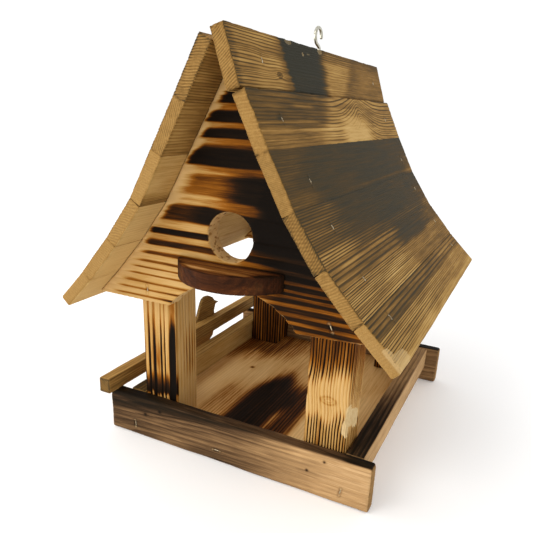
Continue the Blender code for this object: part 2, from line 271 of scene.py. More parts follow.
# ---------------------------------------------------------------- boards
class Board:
    """Where a board lies.  u, v and out are its directions along the grain, across it
    and out of its main face; its own coordinates start at u_from, v_from."""

    def __init__(self, name, centre, size, u, v, out, u_from=0.0, v_from=0.0):
        self.name, self.centre, self.size = name, Vector(centre), Vector(size)
        self.u, self.out = Vector(u), Vector(out)
        side = self.out.cross(self.u)
        self.turn = 1.0 if side.dot(Vector(v)) > 0 else -1.0
        self.rotation = Matrix((self.u, side, self.out)).transposed()
        self.u_from, self.v_from = u_from, v_from

    def coordinates(self, points):
        """U, V and D in millimetres of points in the board's own space in metres."""
        length, width, thickness = self.size
        u = (points[:, 0] + length / 2) / MM + self.u_from
        v = (points[:, 1] * self.turn + width / 2) / MM + self.v_from
        d = (thickness / 2 - points[:, 2]) / MM
        return u, v, d

    def place(self, u, v, d):
        """The point in space at U, V, D."""
        length, width, thickness = self.size
        y = self.turn * ((v - self.v_from) * MM - width / 2)
        return self.matrix() @ Vector(((u - self.u_from) * MM - length / 2, y, thickness / 2 - d * MM))

    def matrix(self):
        return Matrix.Translation(self.centre) @ self.rotation.to_4x4()


def grid_lines(length, spacing, rim, fine_at=()):
    """Places of the grid lines across a length, closer at its ends and within fine_at."""
    half = length / 2
    inner = np.linspace(rim - half, half - rim, max(2, round((length - 2 * rim) / spacing) + 1))
    for middle, reach in fine_at:
        dense = np.arange(middle - reach, middle + reach, FINE_STEP)
        dense = dense[np.abs(dense) < half - rim - FINE_STEP]
        apart = np.abs(inner[:, None] - dense).min(axis=1, initial=1e9)
        kept = (apart > 0.8 * FINE_STEP) | (np.abs(inner) > half - rim - 0.01)
        inner = np.sort(np.concatenate([inner[kept], dense]))
    edge = half - rim * np.array([0.0, 0.3, 0.65])
    return np.concatenate([-edge, inner, edge[::-1]])


def lattice(xs, ys, zs):
    """A closed box whose faces are grids along the given lines: points and quads."""
    shape = (len(xs), len(ys), len(zs))
    i, j, k = np.indices(shape)
    skin = (i == 0) | (j == 0) | (k == 0)
    skin |= (i == shape[0] - 1) | (j == shape[1] - 1) | (k == shape[2] - 1)
    ids = np.full(shape, -1)
    ids[skin] = np.arange(skin.sum())
    points = np.stack([xs[i[skin]], ys[j[skin]], zs[k[skin]]], axis=1)
    quads = []
    for axis in range(3):
        for last in (False, True):
            a = np.take(ids, -1 if last else 0, axis=axis)
            if last == (axis == 1):
                a = a.T
            quads.append(np.stack([a[:-1, :-1], a[1:, :-1], a[1:, 1:], a[:-1, 1:]], axis=-1).reshape(-1, 4))
    return points, np.concatenate(quads)


def put(name, data):
    """A new object in the scene."""
    obj = bpy.data.objects.new(name, data)
    bpy.context.scene.collection.objects.link(obj)
    return obj


def settle(obj, name):
    """The object's mesh as it is shown, in place of the object."""
    bpy.context.view_layer.update()
    mesh = bpy.data.meshes.new_from_object(obj.evaluated_get(bpy.context.evaluated_depsgraph_get()))
    bpy.data.objects.remove(obj)
    mesh.name = name
    return mesh


def weld(mesh, distance):
    mesh.materials.clear()
    body = bmesh.new()
    body.from_mesh(mesh)
    bmesh.ops.remove_doubles(body, verts=body.verts, dist=distance)
    body.to_mesh(mesh)
    body.free()


def attach(obj, body, node=None):
    """Puts a piece on its body and in place of a CAD node."""
    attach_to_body(obj, body)
    if node:
        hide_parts(node)


def mesh_object(name, points, faces):
    mesh = bpy.data.meshes.new(name)
    mesh.from_pydata(points.tolist(), [], faces.tolist())
    mesh.update()
    return put(name, mesh)


def sawn_block(board, look, staples=(), seed=0):
    """A board with unevenly worn edges, on a grid that is fine across the grain."""
    half = np.array(board.size) / 2 / MM
    rim = look.worn * 1.5
    places = [(mark[0], mark[2] + 1) for mark in (*look.chips, *look.marks, *look.eyes)]
    places += [((a[0] + b[0]) / 2, abs(a[0] - b[0]) / 2 + 3) for _, a, b, _ in staples]
    fine_at = [(u - board.u_from - half[0], reach) for u, reach in places]
    points, quads = lattice(
        grid_lines(2 * half[0], look.along, rim, fine_at), grid_lines(2 * half[1], look.across, rim),
        grid_lines(2 * half[2], look.across, rim))
    wear = look.worn * (1 + 0.45 * noise(points, (22, 9, 9), seed + 5)[:, None])
    inner = np.clip(points, wear - half, half - wear)
    away = points - inner
    away /= np.linalg.norm(away, axis=1, keepdims=True)
    return mesh_object(board.name, (inner + away * wear) * MM, quads)


# ---------------------------------------------------------------- wood figure and fire
class Look:
    """How a board is grown, burnt and torn.  A setting marked * may be a function of U, V, D.

    heat     * how hot the flame was on the outer face; inner and edge are the other faces
    soot     * black laid over hard and soft wood alike
    keep     * share of the heat that the hard late wood takes
    relief   * how far the late wood stands above the soft wood where it is burnt
    lines    where the growth rings end, across the grain; or one even spacing
    late     share of a ring that is late wood; one number, or one a ring; part_late * scales it
    rise     share of a ring over which the soft wood turns into late wood
    vary     how much the rings differ in strength
    lean     how far the rings shift across the grain per millimetre of depth
    sway     how far the rings wander sideways, and over what length
    shift    further sideways push, as a function of U, V
    knots    bumps in the grain: (U, V, sideways push, half length, half width)
    eyes     rings drawn round a knot: (U, V, half length, half width, strength)
    marks    dark spots: (U, V, half length, half width, strength)
    chips    torn places: (U, V, half length, half width, depth, how fresh)
    side_chips  torn places on the high V side: (U, D, half length, half depth, depth, how fresh)
    end      how brown the sawn ends are; saw is (slant, spacing, strength) of their marks
    rings    how dark the late wood is on the ends
    sunk     how deep the staples' crowns are driven, and how dark the painted shade round them is
    feather  how far the flame's edge runs in and out along the grain
    torn     how pale and rough the cut edges are
    """

    defaults = dict(
        inner=0.12, edge=None, soot=0.0, keep=0.4, relief=0.3, lines=1.9, late=0.4, part_late=1.0,
        rise=0.3, vary=0.4, lean=0.5,
        sway=(0.6, 60.0), shift=None, knots=(), eyes=(), marks=(), chips=(), side_chips=(),
        end=0.1, saw=(0.5, 1.8, 0.3), rings=0.15, sunk=0.0, feather=3.0, torn=0.0,
        burn="roof", slot="singed_pine", worn=1.1, across=0.5, along=2.4)

    def __init__(self, heat, inner=0.12, **settings):
        self.__dict__.update(self.defaults, heat=heat, inner=inner)
        unknown = set(settings) - set(self.defaults)
        if unknown:
            raise ValueError(f"a look has no {unknown}")
        self.__dict__.update(settings)


def call(value, *arguments):
    return value(*arguments) if callable(value) else np.full(len(arguments[0]), float(value))


def growth(look, u, v, d, seed):
    """Which ring each point is in, where that ring's late wood starts and is full, and how bold it is."""
    points = np.stack([u, v, d], axis=1)
    amount, length = look.sway
    across = v + look.lean * d + amount * rough(points, (length, 14, 14), seed + 1)
    for ku, kv, push, half_u, half_v in look.knots:
        across = across + push * hill(u, ku, half_u) * hill(v, kv, half_v)
    if look.shift:
        across = across + look.shift(u, v)
    if np.isscalar(look.lines):
        ring = across / look.lines + 0.3 * noise(points, (90, 5, 5), seed + 2) + 50
    else:
        ring = np.interp(across, look.lines, np.arange(len(look.lines)))
    number = np.floor(ring).astype(np.int64)
    late = look.late if np.isscalar(look.late) else np.array(look.late)[np.clip(number, 0,
                                                                                len(look.late) - 1)]
    rise = look.rise if np.isscalar(look.rise) else np.array(look.rise)[np.clip(number, 0,
                                                                                len(look.rise) - 1)]
    full = 1 - late * call(look.part_late, u, v, d)
    bold = 1 - look.vary * cell_value(np.stack([number + 500, number * 0, number * 0], axis=1), seed)
    bold *= 1 - look.vary * (0.3 - 0.3 * noise(points, (40, 4, 4), seed + 3))
    return ring, full - rise, full, np.clip(bold, 0, 1)


def oval(u, v, place):
    """Distance from an oval's middle, 1 on its outline."""
    cu, cv, half_u, half_v = place[:4]
    return np.sqrt(((u - cu) / half_u) ** 2 + ((v - cv) / half_v) ** 2)


def from_line(u, v, a, b):
    """Distance in millimetres from the line between two points."""
    along = np.array(b) - a
    t = np.clip(((u - a[0]) * along[0] + (v - a[1]) * along[1]) / along.dot(along), 0, 1)
    return np.hypot(u - a[0] - t * along[0], v - a[1] - t * along[1])


def staples_in(board, names):
    """Each staple's name, the ends of its crown in the board's face, and how deep it goes."""
    found = []
    to_board = board.matrix().inverted()
    for name in names:
        points = node_points(name) @ np.array(to_board.to_3x3()).T
        u, v, d = board.coordinates(points + np.array(to_board.translation))
        crown = d < d.min() + 1.0
        spots = np.stack([u[crown], v[crown]], axis=1)
        order = np.argsort(spots[:, np.ptp(spots, axis=0).argmax()])
        few = max(2, len(order) // 8)
        found.append((name, spots[order[:few]].mean(axis=0), spots[order[-few:]].mean(axis=0), d.max()))
    return found


def drive_staples(board, look, staples):
    """Round wires in place of the plain staples, bowed so that the wood closes over their ends."""
    for name, a, b, leg in staples:
        middle, half = (a + b) / 2, (b - a) / 2
        inset = 1 - STAPLE_WIRE / np.hypot(*half)
        route = [(-inset, leg - 0.6)]
        for i in range(25):
            t = -1 + i / 12
            bow = look.sunk + (1 - look.sunk) * 1.1 * t * t
            corner = 1.2 * max(0.0, abs(t) - 0.85) ** 2 / 0.15 ** 2
            route.append((inset * t, STAPLE_WIRE - CROWN_PROUD + bow + corner))
        route.append((inset, leg - 0.6))
        points = [board.place(*(middle + half * t), d) for t, d in route]
        wire = tube(name + "_wire", points, [STAPLE_WIRE * MM] * len(points), 3)
        wire.data.materials.append(STAPLE)
        attach(wire, HOUSE, name)


def weather(obj, board, look, seed, staples=()):
    """Gives a board's mesh its burn values and its relief."""
    mesh = obj.data
    count = len(mesh.vertices)
    points, normals = np.zeros(count * 3), np.zeros(count * 3)
    mesh.vertices.foreach_get("co", points)
    mesh.vertex_normals.foreach_get("vector", normals)
    points, normals = points.reshape(-1, 3), normals.reshape(-1, 3)
    u, v, d = board.coordinates(points)
    here = np.stack([u, v, d], axis=1)
    length, width, thickness = np.array(board.size) / MM

    ring, fade_from, fade_to, bold = growth(look, u, v, d, seed)
    share = ring - np.floor(ring)
    soft = 1 - bold * np.maximum(1 - step(0, RING_START, share), step(fade_from, fade_to, share))
    face, back = step(0.35, 0.8, normals[:, 2]), step(0.35, 0.8, -normals[:, 2])
    end = step(0.5, 0.85, np.abs(normals[:, 0])) * (look.torn == 0)
    cut_edge = 1 - face - back
    to_end = np.minimum(u - board.u_from, board.u_from + length - u)
    wavy_u = u + look.feather * (noise(here, (40, 1.5, 3), seed + 7)
                                 + 1.2 * noise(here, (30, 9, 9), seed + 6))
    wavy_v = v + 0.5 * rough(here, (50, 8, 8), seed + 8)
    place = wavy_u, wavy_v, d
    outer_heat = call(look.heat, *place)
    edge_heat = 0.75 * outer_heat if look.edge is None else call(look.edge, *place)
    heat = outer_heat * face + call(look.inner, *place) * back + edge_heat * cut_edge
    to_edge = np.minimum(v - board.v_from, board.v_from + width - v)
    if not look.torn:
        uneven = 0.6 + 0.4 * noise(here, (9, 3, 3), seed + 4)
        heat += 0.3 * face * np.exp(-np.maximum(to_edge, 0) / 0.8) * uneven
    uneven = 0.5 + 0.5 * noise(here, (3, 6, 3), seed + 21)
    heat += 0.35 * back * np.exp(-np.maximum(to_end, 0) / 1.2) * uneven
    nearest = np.minimum(np.minimum(d, 1.3 * (thickness - d)), 0.6 * to_edge)
    rim = np.exp(-np.maximum(nearest, 0) ** 1.5)
    singed = look.end + 0.55 * rim * (0.55 + 0.45 * noise(here, (3, 3, 3), seed + 9))
    singed += 0.12 * rough(here, (9, 9, 4), seed + 22)
    singed += 0.25 * np.exp(-d / 1.0) * np.clip(outer_heat, 0, 1.2)
    heat = heat * (1 - end) + singed * end
    extra = call(look.soot, *place) * (1 - end) * (1 - back)
    extra += 0.14 * heat * rough(here, (26, 1.6, 1.6), seed + 10) * (1 - end)
    for mark in look.marks:
        extra += mark[4] * face * np.exp(-oval(u, v, mark) ** 2)
    for eye in look.eyes:
        extra += eye[4] * face * hill(oval(u, v, eye), 1, 0.25)
    fresh = look.torn * cut_edge * (0.5 + 0.5 * noise(here, (1.5, 1.5, 2.5), seed + 18))
    extra += 1.1 * look.torn * cut_edge * step(0.15, 0.5, noise(here, (1.6, 1.6, 2.2), seed + 23))

    # raised grain where it is burnt, saw marks on the ends
    relief = call(look.relief, *place)
    lift = relief * (0.5 - soft) * (0.25 + 0.75 * np.clip(heat, 0, 1)) * (1 - end)
    lift += 0.06 * rough(here, (9, 1.2, 1.2), seed + 11)
    slant, spacing, strength = look.saw
    saw = 0.55 + 0.55 * np.sin((v + slant * d) * 2 * math.pi / spacing
                               + 2.5 * noise(here, (8, 6, 6), seed + 12))
    saw = saw ** 1.5 * (0.8 + 0.35 * noise(here, (5, 2.5, 2.5), seed + 17)) * end
    lift += end * 0.12 * rough(here, (1.6, 1.6, 1.6), seed + 13) - 0.2 * saw
    lift += look.torn * cut_edge * 0.9 * rough(here, (2.2, 2.2, 4.0), seed + 19)
    # edges crumble here and there
    near = np.sort(np.stack([to_end, to_edge, np.minimum(d, thickness - d)], axis=1), axis=1)[:, 1]
    lift -= 0.8 * np.exp(-near / 1.1) * np.maximum(0, rough(here, (7, 2.5, 2.5), seed + 14) - 0.15)

    for chip in look.chips:
        ragged = 1 + 0.35 * rough(here, (4, 1.5, 1.5), seed + 15)
        scoop = np.sqrt(np.clip(1 - oval(u, v, chip) ** 2 * ragged, 0, 1)) * step(4.0, 1.5, d)
        lift -= chip[4] * scoop * (1 + 0.4 * noise(here, (5, 0.8, 0.8), seed + 16))
        fresh = np.maximum(fresh, chip[5] * step(0.05, 0.35, scoop))
    for cu, cd, half_u, half_d, depth, how_fresh in look.side_chips:
        ragged = 1 + 0.35 * rough(here, (4, 1.5, 2.5), seed + 15)
        reach = ((u - cu + 0.3 * (d - cd)) / half_u) ** 2 + ((d - cd) / half_d) ** 2
        scoop = np.sqrt(np.clip(1 - reach * ragged, 0, 1)) * step(width - 2.5, width - 1.0, v - board.v_from)
        lift -= depth * scoop * (1 + 0.4 * noise(here, (5, 0.8, 0.8), seed + 16))
        fresh = np.maximum(fresh, how_fresh * step(0.05, 0.35, scoop))
    # wood torn up over the ends of each staple, and pressed down under its crown
    for _, a, b, _ in staples:
        crown = from_line(u, v, a, b)
        for tip in (a, b):
            mound = np.exp(-(np.hypot((u - tip[0]) / 1.3, (v - tip[1]) / 1.2)) ** 2) * face
            lift += 0.4 * mound
            torn = 0.7 * look.sunk * step(0.2, 0.8, mound)
            fresh = np.maximum(fresh, torn * (0.6 + 0.4 * noise(here, (0.9, 0.9, 9), seed + 20)))
        lift -= (0.1 + 1.1 * look.sunk) * np.exp(-(crown / 0.8) ** 2) * face
        # painted shade: a dark ring round each crown, where the wood is pressed down
        extra += (0.06 + 0.24 * look.sunk) * hill(crown, 1.0, 0.7) * face

    keep = call(look.keep, *place) * (1 - end) + end
    values = {
        "burn": (heat * keep + look.rings * end + extra, heat + extra, np.clip(fresh, 0, 1)),
        "ring": (ring, fade_from, fade_to), "cut": (bold, strength * saw, end)}
    for part in (0, 1):
        values["burn"][part][:] = np.clip(values["burn"][part] * (1 - 0.8 * fresh), 0, 1.3)
    for name, columns in values.items():
        attribute = mesh.attributes.new(name, "FLOAT_VECTOR", "POINT")
        attribute.data.foreach_set("vector", np.stack(columns, axis=1).astype(np.float32).ravel())
    points = points + normals * (lift * MM)[:, None]
    mesh.vertices.foreach_set("co", points.ravel())
    mesh.update()
    mesh.shade_smooth()


def finish_board(obj, board, look, node, seed, staples=()):
    weather(obj, board, look, seed, staples)
    obj.matrix_world = board.matrix()
    obj.data.materials.clear()
    obj.data.materials.append(WOODS[look.burn])
    attach(obj, HOUSE, node)
    drive_staples(board, look, staples)
    return obj


def straight_board(node, u, v, out, u_from, v_from):
    low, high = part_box(node)
    size = [abs((high - low).dot(axis)) for axis in (u, v, out)]
    return Board(node + "_wood", (low + high) / 2, size, u, v, out, u_from, v_from)


def block_from_node(node, u, v, out, look, seed, u_from=0.0, v_from=0.0, staple_names=()):
    """A board in place of a straight CAD board that lies along the axes."""
    board = straight_board(node, u, v, out, u_from, v_from)
    staples = staples_in(board, staple_names)
    obj = sawn_block(board, look, staples, seed)
    return finish_board(obj, board, look, node, seed, staples)


def node_points(node):
    return np.array([v.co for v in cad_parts[node].data.vertices])


def slope_board(node, side, u_from, v_from=0.0):
    """The place of a roof plank, from its CAD faces."""
    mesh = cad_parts[node].data
    best = max(mesh.polygons, key=lambda f: f.area if f.normal.x * side > 0.3 and f.normal.z > 0.1 else 0)
    out = Vector((best.normal.x, 0, best.normal.z)).normalized()
    down = Vector((side * out.z, 0, -side * out.x))
    points = node_points(node)
    places = points @ np.array((Y, down, out)).T
    low, high = places.min(axis=0), places.max(axis=0)
    middle = (low + high) / 2
    centre = Y * middle[0] + down * middle[1] + out * middle[2]
    return Board(node + "_wood", centre, high - low, Y, down, out, u_from, v_from)


def remeshed_node(board, node, voxel, ease=0.35):
    """A CAD piece's own shape as an even fine mesh in the board's space."""
    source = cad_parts[node].data
    mesh = source.copy()
    mesh.name = board.name
    mesh.transform(board.matrix().inverted())
    return fine(mesh, board.name, voxel, ease)


def fine(mesh, name, voxel, ease):
    obj = put(name, mesh)
    remesh = obj.modifiers.new("even", "REMESH")
    remesh.mode = "VOXEL"
    remesh.voxel_size = voxel
    smooth = obj.modifiers.new("worn", "SMOOTH")
    smooth.factor = ease
    smooth.iterations = 2
    return put(name, settle(obj, name))


def face_loops(node, out):
    """The closed outlines of the flat face that looks along out, as lists of points."""
    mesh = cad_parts[node].data
    level = max(v.co.dot(out) for v in mesh.vertices)
    spots, edges = {}, {}
    for polygon in mesh.polygons:
        if polygon.normal.dot(out) < 0.99 or abs(polygon.center.dot(out) - level) > 1e-5:
            continue
        keys = [tuple(round(c, 6) for c in mesh.vertices[i].co) for i in polygon.vertices]
        spots.update((key, Vector(key)) for key in keys)
        for a, b in zip(keys, keys[1:] + keys[:1]):
            edges[a, b] = (b, a) not in edges
            if not edges[a, b]:
                del edges[a, b], edges[b, a]
    following = dict(edges.keys())
    loops = []
    while following:
        first = here = next(iter(following))
        loop = []
        while here in following:
            loop.append(spots[here])
            here = following.pop(here)
        loops.append(loop)
    return loops


def slab(board, loops, voxel):
    """A flat piece of the board's thickness with the given outlines, as a fine mesh."""
    curve = bpy.data.curves.new(board.name, "CURVE")
    curve.dimensions = "2D"
    curve.fill_mode = "BOTH"
    curve.extrude = board.size.z / 2
    inverse = board.matrix().inverted()
    for loop in loops:
        spline = curve.splines.new("POLY")
        spline.points.add(len(loop) - 1)
        for point, place in zip(spline.points, loop):
            local = inverse @ place
            point.co = (local.x, local.y, 0.0, 1.0)
        spline.use_cyclic_u = True
    mesh = settle(put(board.name + "_outline", curve), board.name)
    weld(mesh, 0.00001)
    return fine(mesh, board.name, voxel, 0.3)


# ---------------------------------------------------------------- roof
def split(low, high, x, before, after):
    """One value that turns into another between low and high."""
    return before + (after - before) * step(low, high, x)


def roof_right_1(u, v, d):
    front = 0.74 - 0.2 * window(u, -128, -88, 10) * step(3, 26, v) + 0.3 * fall(-157, -151, u)
    golden = window(u + 0.9 * v, 8, 66, 9) * step(2, 14, v)
    back = 0.62 + 0.16 * fall(3, 12, v) - 0.2 * golden - 0.12 * step(70, 100, u + 0.9 * v)
    back += 0.35 * fall(-30, 14, u + 0.2 * v)
    return split(-60, -56, u, front, back)


def roof_right_1_soot(u, v, d):
    return 0.66 * step(-88, -82, u - 0.2 * v) * fall(-30, 0, u - 0.1 * v)


def roof_right_1_keep(u, v, d):
    return split(-100, -80, u, 0.26, 0.84) - 0.4 * window(u + 0.9 * v, 0, 66, 12) + 0.06 * step(60, 90, u)


def roof_right_2(u, v, d):
    dark = 1 - step(-46, -24, u + 0.9 * (v - 12))
    front = 0.88 - 0.24 * step(27, 29, v) - 0.4 * hill(v, 10, 1.4) * window(u, -98, -62, 8)
    front -= 0.34 * hill(v, 22, 0.8) * fall(-80, -40, u)
    pale = window(u, -8, 62, 16) * step(13, 22, v)
    back = 0.8 - 0.56 * pale - 0.16 * step(20, 30, v) + 0.04 * step(70, 110, u)
    return (front + (back - front) * (1 - dark)) - 0.5 * hill(v, 27, 1.2) * fall(-20, 20, u)


def roof_right_2_keep(u, v, d):
    return split(-52, -20, u + 0.9 * (v - 12), 0.72, 0.3)


def roof_right_3(u, v, d):
    heat = 0.95 - 0.06 * fall(-150, -105, u) - 0.3 * step(100, 150, u) * step(4, 34, v)
    heat -= 0.22 * hill(v, 37, 1.4) * step(-70, -40, u) + 0.1 * step(27, 31, v) * fall(-120, -100, u)
    return heat + 0.08 * hill(u, 10, 60)


def roof_right_3_keep(u, v, d):
    return split(-130, -90, u, 0.82, 0.96)


def roof_right_4(u, v, d):
    front = 1 - step(-124, -96, u)
    heat = 0.97 - 0.08 * front * step(8, 14, v) - 0.08 * front * step(28, 31, v)
    heat -= 0.06 * step(31, 35, v) * (0.4 + 0.6 * fall(-90, 0, u))
    heat -= 0.22 * step(105, 145, u) * step(6, 24, v) + 0.14 * hill(u, 68, 9) * hill(v, 31, 5)
    return heat + 0.16 * hill(u, 108, 10) * hill(v, 10, 6) + 0.08 * hill(u, 20, 60)


def roof_right_4_keep(u, v, d):
    return split(-110, -70, u, 0.5, 0.93) - 0.26 * step(29, 33, v)


def roof_right_5(u, v, d):
    top = 0.86 + 0.12 * window(u, -20, 92, 16) - 0.2 * step(95, 140, u)
    low = 0.9 - 0.16 * window(u, -90, -10, 25) * step(27, 34, v) - 0.3 * step(-40, 20, u)
    low += 0.34 * window(u, -12, 88, 14) * fall(19, 21, v)
    return split(16.4, 17.6, v, top, low) + 0.4 * hill(v, 17.2, 0.6) * fall(0, 50, u)


def roof_right_5_keep(u, v, d):
    return split(16.4, 17.6, v, 0.42 + 0.5 * step(-20, 20, u), 0.04 + 0.5 * step(-30, 20, u))


def roof_right_6(u, v, d):
    top = 0.92 - 0.2 * step(10, 90, u)
    low = 0.78 - 0.34 * step(-40, 80, u)
    worn = step(29, 35, v + 1.5 * np.sin(u / 17)) * (0.55 + 0.25 * fall(-145, -120, u))
    return split(14.2, 15.6, v, top, low) * (1 - worn) + 0.3 * hill(v, 15, 0.7) * fall(20, 80, u)


def roof_right_6_keep(u, v, d):
    return split(14.2, 15.6, v, 0.42, 0.04 + 0.5 * step(-20, 60, u)) + 0.3 * step(28, 34, v)


def roof_left(dark_from, dark_to, mild):
    """The slope away from the camera: brown, black inside the scorched stretch."""
    def heat(u, v, d):
        stretch = step(dark_from - 12, dark_from + 6, u - 0.4 * v) * fall(dark_to - 10, dark_to + 14, u)
        return mild + (0.95 - mild) * stretch + 0.3 * fall(-157, -149, u)
    return heat


def roof_left_keep(dark_from, dark_to):
    def keep(u, v, d):
        return 0.5 + 0.4 * window(u - 0.4 * v, dark_from, dark_to, 14)
    return keep


def overhang(outside, inside, painted_shade_at=None):
    """The inner face of a left plank: browner where the overhang caught the flame, and darker still on the
    overhang past a given place across the plank, which is painted shade.
    """
    def heat(u, v, d):
        edge = step(108, 126, np.abs(u))
        heat = inside + (outside - inside) * edge + 0.2 * outside * window(np.abs(u), 124, 136, 6)
        # painted shade: a darker band across the overhang's inner face, from the given place on
        return heat if painted_shade_at is None else heat + 0.35 * edge * step(painted_shade_at - 5, painted_shade_at + 4, v)
    return heat


def uneven_lines(first, last, spacing, seed=0):
    """Places about spacing apart, some closer and some wider, as a tree grows."""
    count = int((last - first) / spacing) + 1
    cells = np.stack([np.arange(count), np.zeros(count), np.zeros(count)], axis=1)
    widths = spacing * (0.55 + 0.9 * cell_value(cells, seed))
    return tuple(first + np.concatenate([[0.0], np.cumsum(widths)]))


def roof_left_look(dark_from, dark_to, mild, outside, inside, painted_shade_at=None, **settings):
    return Look(roof_left(dark_from, dark_to, mild), overhang(outside, inside, painted_shade_at),
                keep=roof_left_keep(dark_from, dark_to), **settings)


ROOF_LOOKS = {
    ("right", 1): Look(roof_right_1, soot=roof_right_1_soot, keep=roof_right_1_keep, late=0.45, vary=0.4,
        lines=uneven_lines(-20, 70, 1.7, 1), sway=(1.6, 46), saw=(-0.45, 1.7, 1.0), end=0.2, across=0.42,
        knots=[(-98, 27, 1.6, 7, 4)], eyes=[(-98, 27, 3.5, 1.8, 0.35)], marks=[(-98, 27, 2.0, 1.2, 0.5)],
        chips=[(-70, 1.5, 6, 2.0, 0.3, 0.2), (-47, 8, 1.3, 1.3, 0.3, 0.35),
        (-36, 7, 3, 0.6, 0.2, 0.18), (-9, 2.0, 5, 2.4, 0.5, 0.25)]),
    ("right", 2): Look(roof_right_2, keep=roof_right_2_keep, late=0.5, rise=0.36, lean=0.3, relief=0.5,
        vary=0.2, lines=uneven_lines(-30, 70, 3.0, 3),
        sway=(1.2, 60), knots=[(46, 16, 12, 34, 36), (46, 16, 4, 10, 30)], end=0.2,
        saw=(0.3, 1.9, 0.3), marks=[(-127, 19, 3.5, 1.6, 0.3)]),
    ("right", 3): Look(roof_right_3, keep=roof_right_3_keep, lines=1.6, sway=(0.5, 80), lean=0.7, relief=0.16,
        saw=(0.9, 1.6, 0.9), end=0.2),
    ("right", 4): Look(roof_right_4, keep=roof_right_4_keep, lines=1.9, late=0.34, lean=-0.5, relief=0.24,
        end=0.4, rings=0.25, sway=(0.5, 90), saw=(0.4, 2.6, 0.8)),
    ("right", 5): Look(roof_right_5, keep=roof_right_5_keep, relief=0.42, sway=(0.4, 90), lean=0.3,
        across=0.42, late=0.45, vary=0.4, lines=(-10, -6, -2.5, 1.4, 5.5, 8.5, 12.6, 17.4)
        + uneven_lines(19.2, 60, 1.6, 5), saw=(0.2, 1.9, 0.6), end=0.22, rings=0.22),
    ("right", 6): Look(roof_right_6, keep=roof_right_6_keep, relief=0.42, sway=(0.5, 90), lean=0.1,
        across=0.42, late=0.45, vary=0.4, lines=(-10, -6, -3, 0.4, 3.6, 7.6, 10.8, 15.2)
        + uneven_lines(17.0, 60, 1.6, 6), end=0.04, saw=(0.1, 2.0, 0.1), rings=0.05,
        chips=[(-152, 34, 16, 7, 0.9, 0.35), (-158, 26, 4, 6, 0.6, 0.35)]),
    ("left", 1): roof_left_look(-60, 90, 0.6, 0.58, 0.28, lean=0.55, sway=(0.9, 60), saw=(0.6, 2.0, 0.8),
        end=0.2, rings=0.45),
    ("left", 2): roof_left_look(-150, 10, 0.6, 0.42, 0.28, lines=2.4, lean=0.8, sway=(1.4, 50),
        saw=(-1.0, 2.3, 0.9), knots=[(60, 20, 8, 30, 20)], end=0.16),
    ("left", 3): roof_left_look(-120, 130, 0.5, 0.16, 0.16, 34, lines=1.6, lean=0.9, saw=(0.2, 2.0, 0.2),
        end=0.04),
    ("left", 4): roof_left_look(0, 150, 0.6, 0.0, 0.12, lines=2.6, lean=0.2, saw=(0.6, 2.4, 0.4), end=0.04),
    ("left", 5): roof_left_look(-140, -40, 0.55, 0.0, 0.14, lines=2.2, lean=0.6, saw=(0.2, 2.0, 0.3),
        end=0.0),
    ("left", 6): roof_left_look(40, 120, 0.4, 0.0, 0.14, lines=2.4, lean=0.3, saw=(0.2, 2.0, 0.2), end=0.0),
}
# Each plank is drawn this much wider than its CAD node.  The nodes are 0.3 to 0.4 mm apart, so the
# drawn planks run about 0.5 mm into each other and no light shows through their worn edges.  Only
# the first and second right planks stay apart: their nodes are 2.7 mm apart.
PLANK_SPREAD = 0.9 * MM


def build_roof():
    for index, ((side, number), look) in enumerate(ROOF_LOOKS.items()):
        node = f"roof_plank_{side}_{number}"
        board = slope_board(node, 1 if side == "right" else -1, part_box(node)[0].y / MM)
        board.size.y += PLANK_SPREAD
        look.worn = 1.6 if number == 6 else 0.6
        staples = staples_in(board, [f"roof_staple_{side}_{number}_{where}" for where in ("front", "back")])
        obj = sawn_block(board, look, staples, 100 + index * 40)
        finish_board(obj, board, look, node, 100 + index * 40, staples)


# ---------------------------------------------------------------- gables
GABLE_RINGS = (  # height of a ring's sharp lower edge, its share of late wood and of turning into it
    (126, 0.5, 0.3), (132, 0.5, 0.3), (138, 0.5, 0.3), (144, 0.5, 0.3), (150, 0.5, 0.3), (157, 0.5, 0.3),
    (163, 0.5, 0.3), (168, 0.46, 0.3), (175, 0.4, 0.3), (183, 0.34, 0.22), (193, 0.42, 0.14),
    (204, 0.24, 0.14),
    (225, 0.14, 0.16), (247, 0.12, 0.3), (266, 0.22, 0.24), (277, 0.22, 0.24), (289, 0.16, 0.2),
    (301, 0.3, 0.2),
    (313, 0.3, 0.2), (325, 0.3, 0.2))


def gable_shift(u, v):
    """The rings dip to the right, most of all beside and above the hole."""
    return 0.10 * np.maximum(u + 20, 0) * hill(v, 218, 12) + 0.05 * np.maximum(u - 10, 0) * hill(v, 182, 14)


def gable_left_edge(v):
    """Where the left planks' inner faces cross the gable."""
    return np.interp(v, (136, 155, 175, 200, 220, 245, 265, 295, 320),
                     (-122, -107, -90, -74, -57, -46, -33, -14, 0))


def gable_height(v):
    """How far a point is above the sharp lower edge of its band."""
    starts = np.array([row[0] for row in GABLE_RINGS])
    return v - starts[np.clip(np.searchsorted(starts, v) - 1, 0, len(starts) - 1)]


def gable_heat(mirror):
    def heat(u, v, d):
        u = u * mirror
        inside = u - gable_left_edge(v) - 0.35 * gable_height(v)
        upper = step(178, 206, v)
        heat = split(158, 190, v, 0.5, 0.78) + 0.34 * upper
        heat *= step(1.5, split(170, 200, v, 16, 9) + 9 * step(222, 228, v) * fall(244, 248, v), inside)
        glow = window(u, -60, 2, 14) * window(v, 224.5, 244, 0.8)
        glow = np.maximum(glow, 0.6 * window(u, -70, -28, 12) * window(v, 203.5, 222, 0.8))
        heat *= 1 - 0.52 * glow
        heat += split(150, 170, v, 0.42, 0.5) * step(20, 44, u) * fall(180, 196, v)
        heat *= 1 - 0.3 * step(84, 112, u) * fall(150, 180, v)
        return heat + 0.4 * window(u, -60, -38, 8) * fall(138, 148, v)
    return heat


